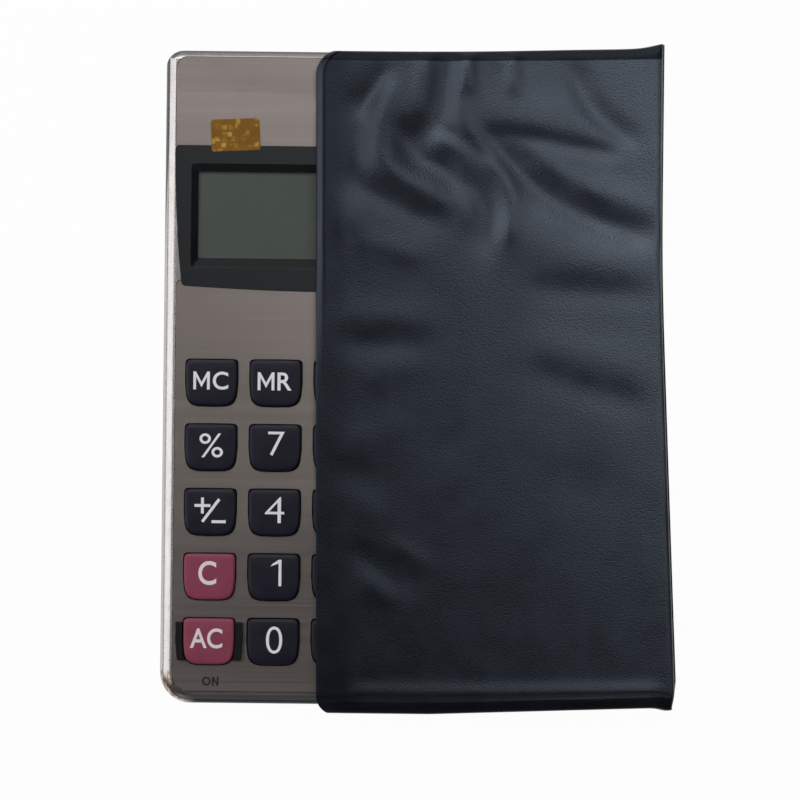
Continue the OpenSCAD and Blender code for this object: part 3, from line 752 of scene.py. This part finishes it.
def front_height(x, y, a):
    """The front panel with its folds, which sink no deeper than the keys and the face let them."""
    height = TOP_Z - (SEAM_Z + VINYL_T)
    lift = broad_lift(x, y) + sum(fold_height(x, y, *fold[1:]) for fold in FOLDS)
    for seed, wave in enumerate(WAVES):
        lift = lift + wave_height(x, y, seed, *wave)
    room = KEY_ROOM + (FACE_ROOM - KEY_ROOM) * smooth_step((y - FACE_FROM_Y) / 6)
    lift = np.where(lift < 0, -room * np.tanh(-lift / room), lift)
    drop = combined_drop(x, y, height)
    calm = 1 - smooth_step(drop / (0.18 * height))
    return TOP_Z - drop + lift * calm + hem(a, y) * (1 - smooth_step(drop / (0.4 * height)))


def back_height(x, y, a):
    """The back panel lies flat and turns up to the weld at its sides."""
    height = SEAM_Z - VINYL_T
    drop = combined_drop(x, y, height, BACK_SLOPE)
    seam = 0.10 * bell(a - LIP_W - 0.38, 0.33)
    return drop + seam * (1 - smooth_step(drop / (0.25 * height)))


def sleeve_panel(name, node, heights, upwards):
    """One vinyl panel. The heights are those of its outer face, and its wall lies inside that."""
    x, y, a = sleeve_grid()
    z = heights(x, y, a)
    points = np.stack([x, y, z], axis=-1).reshape(-1, 3)
    faces = grid_faces(*x.shape)
    if not upwards:
        faces = [face[::-1] for face in faces]
    made = add_mesh(name, points, faces)
    solidify(made, VINYL_T)
    return dress(made, "sleeve", "sleeve_vinyl", FINISH["sleeve_vinyl"], node)


# Keys
KEY_POINTS = 96
HEAD_SQUARENESS, FOOT_SQUARENESS, FOOT_TAPER = 12, 4.4, 0.06
FLANGE_REACH = 0.45
FLANGE_T = 0.8
KEY_GAP = 0.25
CAP_SKIN = 1.1
POST_R = 2.5
LEGEND_PROUD = 0.015
LEGEND_SUNK = 0.12
LEGENDS = {
    # key: words, offset of their middle from the key's middle, width and height
    "key_mc": ("MC", -0.11, 0.42, 6.78, 3.49),
    "key_mr": ("MR", -0.18, 0.39, 6.59, 3.49),
    "key_m_minus": ("M-", 0.0, 0.40, 6.3, 3.49),
    "key_m_plus": ("M+", 0.0, 0.40, 6.5, 3.49),
    "key_root": ("root", 0.0, 0.45, 4.6, 4.4),
    "key_percent": ("%", 0.11, 0.40, 4.57, 4.65),
    "key_7": ("7", 0.27, 0.87, 3.22, 4.65),
    "key_8": ("8", 0.15, 0.60, 3.40, 5.00),
    "key_9": ("9", 0.15, 0.60, 3.35, 5.00),
    "key_divide": ("divide", 0.0, 0.40, 4.2, 4.2),
    "key_sign": ("sign", 0.04, 0.37, 6.10, 4.94),
    "key_4": ("4", 0.07, 0.57, 3.76, 5.04),
    "key_5": ("5", 0.10, 0.55, 3.25, 5.00),
    "key_6": ("6", 0.10, 0.55, 3.35, 5.00),
    "key_multiply": ("multiply", 0.0, 0.40, 3.6, 3.6),
    "key_c": ("C", -0.37, 0.77, 3.49, 4.65),
    "key_1": ("one", 0.50, 0.92, 2.09, 5.12),
    "key_2": ("2", 0.10, 0.60, 3.25, 5.00),
    "key_3": ("3", 0.10, 0.60, 3.15, 5.00),
    "key_minus": ("minus", 0.0, 0.40, 4.0, 0.62),
    "key_ac": ("AC", -0.45, 0.66, 6.30, 3.88),
    "key_0": ("0", 0.27, 0.46, 3.15, 5.25),
    "key_point": ("point", 0.0, -0.6, 0.95, 0.95),
    "key_equals": ("equals", 0.0, 0.40, 4.0, 2.2),
    "key_plus": ("plus", 0.0, 0.40, 4.2, 4.2),
}
STROKE = 0.56
ON_STROKE, ON_RING_W = 0.36, 1.72
ON_SIZE = (3.22, 1.75)
ON_RIGHT, ON_BELOW = 0.35, 2.6     # the word's place from the middle and the foot of its key
# How far a word's outline is moved out, as a share of the letters' size, by its first letter
BOLDER = {"ACR": 0.014, "0123456789": -0.010}


def key_outline(half_w, half_l, grow):
    """Square at the head, rounder and narrower at the foot."""
    angle = np.arange(KEY_POINTS) * 2 * math.pi / KEY_POINTS
    sine, cosine = np.sin(angle), np.cos(angle)
    power = 2 / np.where(sine >= 0, HEAD_SQUARENESS, FOOT_SQUARENESS)
    up = np.sign(sine) * np.abs(sine) ** power
    across = np.sign(cosine) * np.abs(cosine) ** power
    taper = 1 - FOOT_TAPER * np.maximum(0, -up)
    return np.stack([(half_w + grow) * across * taper, (half_l + grow) * up], axis=-1)


def cap_rings(top):
    """Inset and height of each ring over the cap's rounded head, which is slightly crowned."""
    fillet, crown, steps, turn = 0.5, 0.10, 8, 74
    rings = []
    for step in range(steps + 1):
        angle = step / steps * math.radians(turn)
        inset = fillet * (1 - math.cos(angle))
        rings.append((inset, top - crown - fillet * (1 - math.sin(angle))))
    return rings + [(0.75, top - 0.085), (1.3, top - 0.05), (2.2, top - 0.018), (3.4, top)]


def key_cap(name):
    """A moulded cap with its flange, and a hollow round the post underneath."""
    low, high = box_mm(name)
    middle = (low + high) / 2
    half_w = (high.x - low.x) / 2 - FLANGE_REACH
    half_l = (high.y - low.y) / 2 - FLANGE_REACH
    ceiling = high.z - CAP_SKIN
    outer = [(FLANGE_REACH, low.z), (FLANGE_REACH, low.z + FLANGE_T), (-KEY_GAP, low.z + FLANGE_T)]
    outer += [(-KEY_GAP - inset, z) for inset, z in cap_rings(high.z)]
    inner = [(-KEY_GAP - CAP_SKIN, ceiling), (-KEY_GAP - CAP_SKIN, low.z)]
    points = []
    for grow, z in inner + outer:
        points += [(middle.x + px, middle.y + py, z) for px, py in key_outline(half_w, half_l, grow)]
    turn = np.arange(KEY_POINTS) * 2 * math.pi / KEY_POINTS
    for z in (ceiling, low.z):
        points += [(middle.x + POST_R * math.cos(t), middle.y + POST_R * math.sin(t), z) for t in turn]
    levels = len(inner) + len(outer)
    faces = ring_faces(levels, KEY_POINTS)
    crown = (levels - 1) * KEY_POINTS
    faces.append(tuple(range(crown, crown + KEY_POINTS)))
    post = levels * KEY_POINTS
    for i in range(KEY_POINTS):
        j = (i + 1) % KEY_POINTS
        faces.append((j, i, post + i, post + j))
        faces.append((post + j, post + i, post + KEY_POINTS + i, post + KEY_POINTS + j))
    faces.append(tuple(range(post + 2 * KEY_POINTS - 1, post + KEY_POINTS - 1, -1)))
    made = add_mesh("cap_" + name, points, faces)
    slot = slot_of(name)
    made.data.set_sharp_from_angle(angle=math.radians(50))
    return dress(made, name, slot, FINISH[slot], name)


def flat_shape(outlines):
    """A bmesh of flat faces from outlines that don't overlap."""
    shape = bmesh.new()
    for outline in outlines:
        shape.faces.new([shape.verts.new((px, py, 0)) for px, py in outline])
    return shape


def bar(ax, ay, bx, by, width=STROKE):
    """A straight stroke with square ends."""
    length = math.hypot(bx - ax, by - ay)
    nx, ny = -(by - ay) / length * width / 2, (bx - ax) / length * width / 2
    return [(ax + nx, ay + ny), (ax - nx, ay - ny), (bx - nx, by - ny), (bx + nx, by + ny)]


def disc(x, y, radius, count=24):
    turns = [2 * math.pi * i / count for i in range(count)]
    return [(x + radius * math.cos(t), y + radius * math.sin(t)) for t in turns]


# Each sign is a list of strokes within a width and a height, centred on the origin
def sign_change(w, h):
    """A plus and a minus with a slash between them."""
    arm, half = 1.55, STROKE / 2
    px, py = arm - w / 2, h / 2 - arm
    return [
        bar(px - arm, py, px - half, py),
        bar(px + half, py, px + arm, py),
        bar(px, py - arm, px, py + arm),
        bar(px, 0.25 - h / 2, 1.75, h / 2 - 0.3),
        bar(w / 2 - 2.75, half - h / 2, w / 2, half - h / 2),
    ]


def one(w, h):
    """A one with a slanting flag."""
    stem, top = w / 2 - STROKE / 2, h / 2
    flag = [(stem - STROKE / 2, top - 0.72), (stem - STROKE / 2, top - 0.02),
            (0.30 - w / 2, top - 0.83), (-w / 2, top - 1.30)]
    return [bar(stem, -top, stem, top), flag]


def divide(w, h):
    dot = 0.45
    return [bar(-w / 2, 0, w / 2, 0), disc(0, h / 2 - dot, dot), disc(0, dot - h / 2, dot)]


def multiply(w, h):
    gap = STROKE / 2 * math.sqrt(2) / 2
    return [
        bar(-w / 2, -h / 2, w / 2, h / 2),
        bar(-w / 2, h / 2, -gap, gap),
        bar(gap, -gap, w / 2, -h / 2),
    ]


def plus(w, h):
    half = STROKE / 2
    return [bar(0, -h / 2, 0, h / 2), bar(-w / 2, 0, -half, 0), bar(half, 0, w / 2, 0)]


def minus(w, h):
    return [bar(-w / 2, 0, w / 2, 0, h)]


def equals(w, h):
    lift = h / 2 - STROKE / 2
    return [bar(-w / 2, lift, w / 2, lift), bar(-w / 2, -lift, w / 2, -lift)]


def point(w, h):
    return [disc(0, 0, w / 2)]


def root(w, h):
    """A square root sign: a thin tick, a long slant and the bar over it."""
    low, bar_y = -h / 2, h / 2 - STROKE / 2
    return [
        bar(-w / 2, -0.1, -w / 2 + 0.75, 0.25, STROKE * 0.8),
        bar(-w / 2 + 0.72, 0.3, -0.75, low),
        bar(-0.72, low + 0.02, 0.55, h / 2),
        bar(0.6, bar_y, w / 2, bar_y),
    ]


def on_word(w, h):
    """The word ON: an oval ring and three strokes."""
    thick, turns = ON_STROKE, np.linspace(0, 2 * math.pi, 33)
    half = ON_RING_W / 2
    outer, inner = (
        [(half - w / 2 + (half - inset) * math.cos(t), (h / 2 - inset) * math.sin(t)) for t in turns]
        for inset in (0, thick)
    )
    ring = [[outer[i], outer[i + 1], inner[i + 1], inner[i]] for i in range(len(turns) - 1)]
    stem, slant = ON_RING_W - w / 2 + 0.22, 0.62
    return ring + [
        [(stem + thick, h / 2), (stem + thick, h / 2 - slant), (w / 2 - thick, -h / 2),
         (w / 2 - thick, slant - h / 2)],
        bar(stem + thick / 2, -h / 2, stem + thick / 2, h / 2, thick),
        bar(w / 2 - thick / 2, -h / 2, w / 2 - thick / 2, h / 2, thick),
    ]


SIGNS = {
    "sign": sign_change, "one": one, "divide": divide, "multiply": multiply, "plus": plus,
    "minus": minus, "equals": equals, "point": point, "root": root, "ON": on_word,
}


def add_bold_m(shape):
    """Draws a bold M in front of the letters."""
    left = min(v.co.x for v in shape.verts)
    low = min(v.co.y for v in shape.verts)
    tall = max(v.co.y for v in shape.verts) - low
    wide, stroke, gap = 0.94 * tall, 0.16 * tall, 0.17 * tall
    leg = [(0, 0), (stroke, 0), (stroke, 0.70 * tall)]
    outline = leg + [(wide / 2, 0.12 * tall)] + [(wide - px, py) for px, py in reversed(leg)]
    outline += [(wide, tall), (wide - 0.9 * stroke, tall)]
    outline += [(wide / 2, 0.42 * tall), (0.9 * stroke, tall), (0, tall)]
    shape.faces.new([shape.verts.new((left - gap - wide + px, low + py, 0)) for px, py in outline])


def letter_shape(words):
    """The outline of words as flat faces. The notch of the font's own M is too fine to be made
    bolder, so an M before a letter is drawn."""
    draws_m = words[0] == "M" and words[1].isalpha()
    curve = bpy.data.curves.new("words", "FONT")
    curve.body = words[1:] if draws_m else words
    curve.resolution_u = 8
    curve.offset = next((more for letters, more in BOLDER.items() if curve.body[0] in letters), 0.0)
    text = bpy.data.objects.new("words", curve)
    bpy.context.scene.collection.objects.link(text)
    bpy.context.view_layer.update()
    flat = bpy.data.meshes.new_from_object(text.evaluated_get(bpy.context.evaluated_depsgraph_get()))
    shape = bmesh.new()
    shape.from_mesh(flat)
    bpy.data.objects.remove(text)
    bpy.data.curves.remove(curve)
    bpy.data.meshes.remove(flat)
    if draws_m:
        add_bold_m(shape)
    return shape


def printed_shape(name, words, middle, size, level, body, slot, finish):
    """Words or a sign as a thin solid whose top lies just proud of level."""
    shape = flat_shape(SIGNS[words](*size)) if words in SIGNS else letter_shape(words)
    bmesh.ops.remove_doubles(shape, verts=shape.verts, dist=1e-5)
    low = Vector([min(v.co[i] for v in shape.verts) for i in range(2)])
    high = Vector([max(v.co[i] for v in shape.verts) for i in range(2)])
    for vert in shape.verts:
        for i in range(2):
            share = (vert.co[i] - low[i]) / (high[i] - low[i])
            vert.co[i] = (middle[i] + (share - 0.5) * size[i]) * MM
        vert.co.z = (level - LEGEND_SUNK) * MM
    for face in shape.faces:
        if face.normal.z > 0:
            face.normal_flip()
    risen = bmesh.ops.extrude_face_region(shape, geom=list(shape.faces))["geom"]
    lift = Vector((0, 0, (LEGEND_SUNK + LEGEND_PROUD) * MM))
    bmesh.ops.translate(shape, verts=[g for g in risen if isinstance(g, bmesh.types.BMVert)], vec=lift)
    bmesh.ops.recalc_face_normals(shape, faces=shape.faces)
    mesh = bpy.data.meshes.new(name)
    shape.to_mesh(mesh)
    shape.free()
    return dress(add_object(name, mesh, False), body, slot, finish)


def keys():
    """Every key's cap, and its legend in pink on the maroon keys and white on the others."""
    white = printed("legend_white", (0.90, 0.90, 0.94))
    pink = printed("legend_pink", (0.90, 0.78, 0.83))
    for name in KEYS:
        key_cap(name)
        low, high = box_mm(name)
        middle = (low + high) / 2
        words, dx, dy, w, h = LEGENDS[name]
        slot = slot_of(name)
        ink = pink if slot == "maroon_key" else white
        place_at = (middle.x + dx, middle.y + dy)
        legend = "legend_" + name.removeprefix("key_")
        printed_shape(legend, words, place_at, (w, h), high.z, name, slot, ink)


def on_mark():
    """The small word under the lower left key."""
    black = printed("print_black", (0.010, 0.009, 0.009))
    low, high = box_mm("key_ac")
    place_at = ((low.x + high.x) / 2 + ON_RIGHT, low.y - ON_BELOW)
    printed_shape("mark_on", "ON", place_at, ON_SIZE, FACE_Z, "calculator", "face_plate", black)


# Scene
FLOOR_HALF_W = 20000
FLOOR_GLOW = 0.97        # how much of the floor's plain white the camera and mirrors see
WORLD_LIGHT = 0.04


def camera():
    """Straight above the object, turned a little as in the photograph."""
    made = bpy.data.objects.new("camera", bpy.data.cameras.new("camera"))
    made.data.lens = 102
    made.data.sensor_width = 36
    made.data.clip_start = 0.01
    made.data.clip_end = 100
    made.location = Vector((-3.41, -4.04, 450)) * MM
    made.rotation_euler = (0, 0, math.radians(0.65))
    bpy.context.scene.collection.objects.link(made)
    bpy.context.scene.camera = made


def floor():
    """A pale floor that shows nearly white and keeps the object's soft shadow."""
    far = FLOOR_HALF_W
    corners = [(-far, -far, 0), (far, -far, 0), (far, far, 0), (-far, far, 0)]
    made = add_mesh("floor", corners, [(0, 1, 2, 3)], False)
    made.location.z = -0.02 * MM
    finish, tree, shader = new_material("floor_white")
    shader.inputs["Base Color"].default_value = (0.9, 0.9, 0.9, 1)
    shader.inputs["Roughness"].default_value = 0.9
    glow = put(tree, "ShaderNodeEmission", {"Color": (1, 1, 1, 1), "Strength": 1.0})
    path = put(tree, "ShaderNodeLightPath")
    seen = math_node(tree, "ADD", path.outputs["Is Camera Ray"], path.outputs["Is Glossy Ray"])
    seen = math_node(tree, "ADD", seen, path.outputs["Is Transmission Ray"])
    share = spread(tree, seen, 0, 1, 0, FLOOR_GLOW, "LINEAR")
    both = put(tree, "ShaderNodeMixShader", {0: share})
    link(tree, shader.outputs["BSDF"], both.inputs[1])
    link(tree, glow.outputs["Emission"], both.inputs[2])
    link(tree, both.outputs["Shader"], tree.nodes["Material Output"].inputs["Surface"])
    made.data.materials.append(finish)


def softbox(name, bearing, elevation, distance, size, radiance):
    """A rectangular light aimed at the object, with its distance and size in metres. Bearing 0 is
    towards +Y and 90 towards +X."""
    light = bpy.data.lights.new(name, "AREA")
    light.shape = "RECTANGLE"
    light.size, light.size_y = size
    light.energy = radiance * math.pi * size[0] * size[1]
    made = bpy.data.objects.new(name, light)
    b, e = math.radians(bearing), math.radians(elevation)
    towards = Vector((math.sin(b) * math.cos(e), math.cos(b) * math.cos(e), math.sin(e)))
    made.location = distance * towards
    made.rotation_euler = (-made.location).to_track_quat("-Z", "Y").to_euler()
    bpy.context.scene.collection.objects.link(made)


def lights():
    softbox("head_window", bearing=-5, elevation=38, distance=0.9, size=(0.5, 0.9), radiance=2.3)
    softbox("corner_window", bearing=-45, elevation=48, distance=0.9, size=(0.36, 0.36), radiance=2.8)
    softbox("left_window", bearing=-90, elevation=36, distance=0.9, size=(0.5, 0.85), radiance=1.7)
    softbox("right_light", bearing=90, elevation=42, distance=0.9, size=(0.36, 0.36), radiance=0.9)
    softbox("right_lamp", bearing=60, elevation=64, distance=0.9, size=(0.36, 0.36), radiance=1.4)
    softbox("ceiling", bearing=20, elevation=78, distance=1.0, size=(0.5, 0.42), radiance=0.5)
    softbox("foot_fill", bearing=180, elevation=35, distance=1.2, size=(1.2, 0.5), radiance=0.3)
    world = bpy.data.worlds.new("world")
    world.use_nodes = True
    background = world.node_tree.nodes["Background"]
    background.inputs["Color"].default_value = (0.95, 0.97, 1.0, 1)
    background.inputs["Strength"].default_value = WORLD_LIGHT
    bpy.context.scene.world = world


camera()
dress_frame()
sleeve_panel("sleeve_front_vinyl", "sleeve_front", front_height, True)
sleeve_panel("sleeve_back_vinyl", "sleeve_back", back_height, False)
keys()
on_mark()
floor()
lights()
bpy.context.scene.view_settings.view_transform = "Standard"
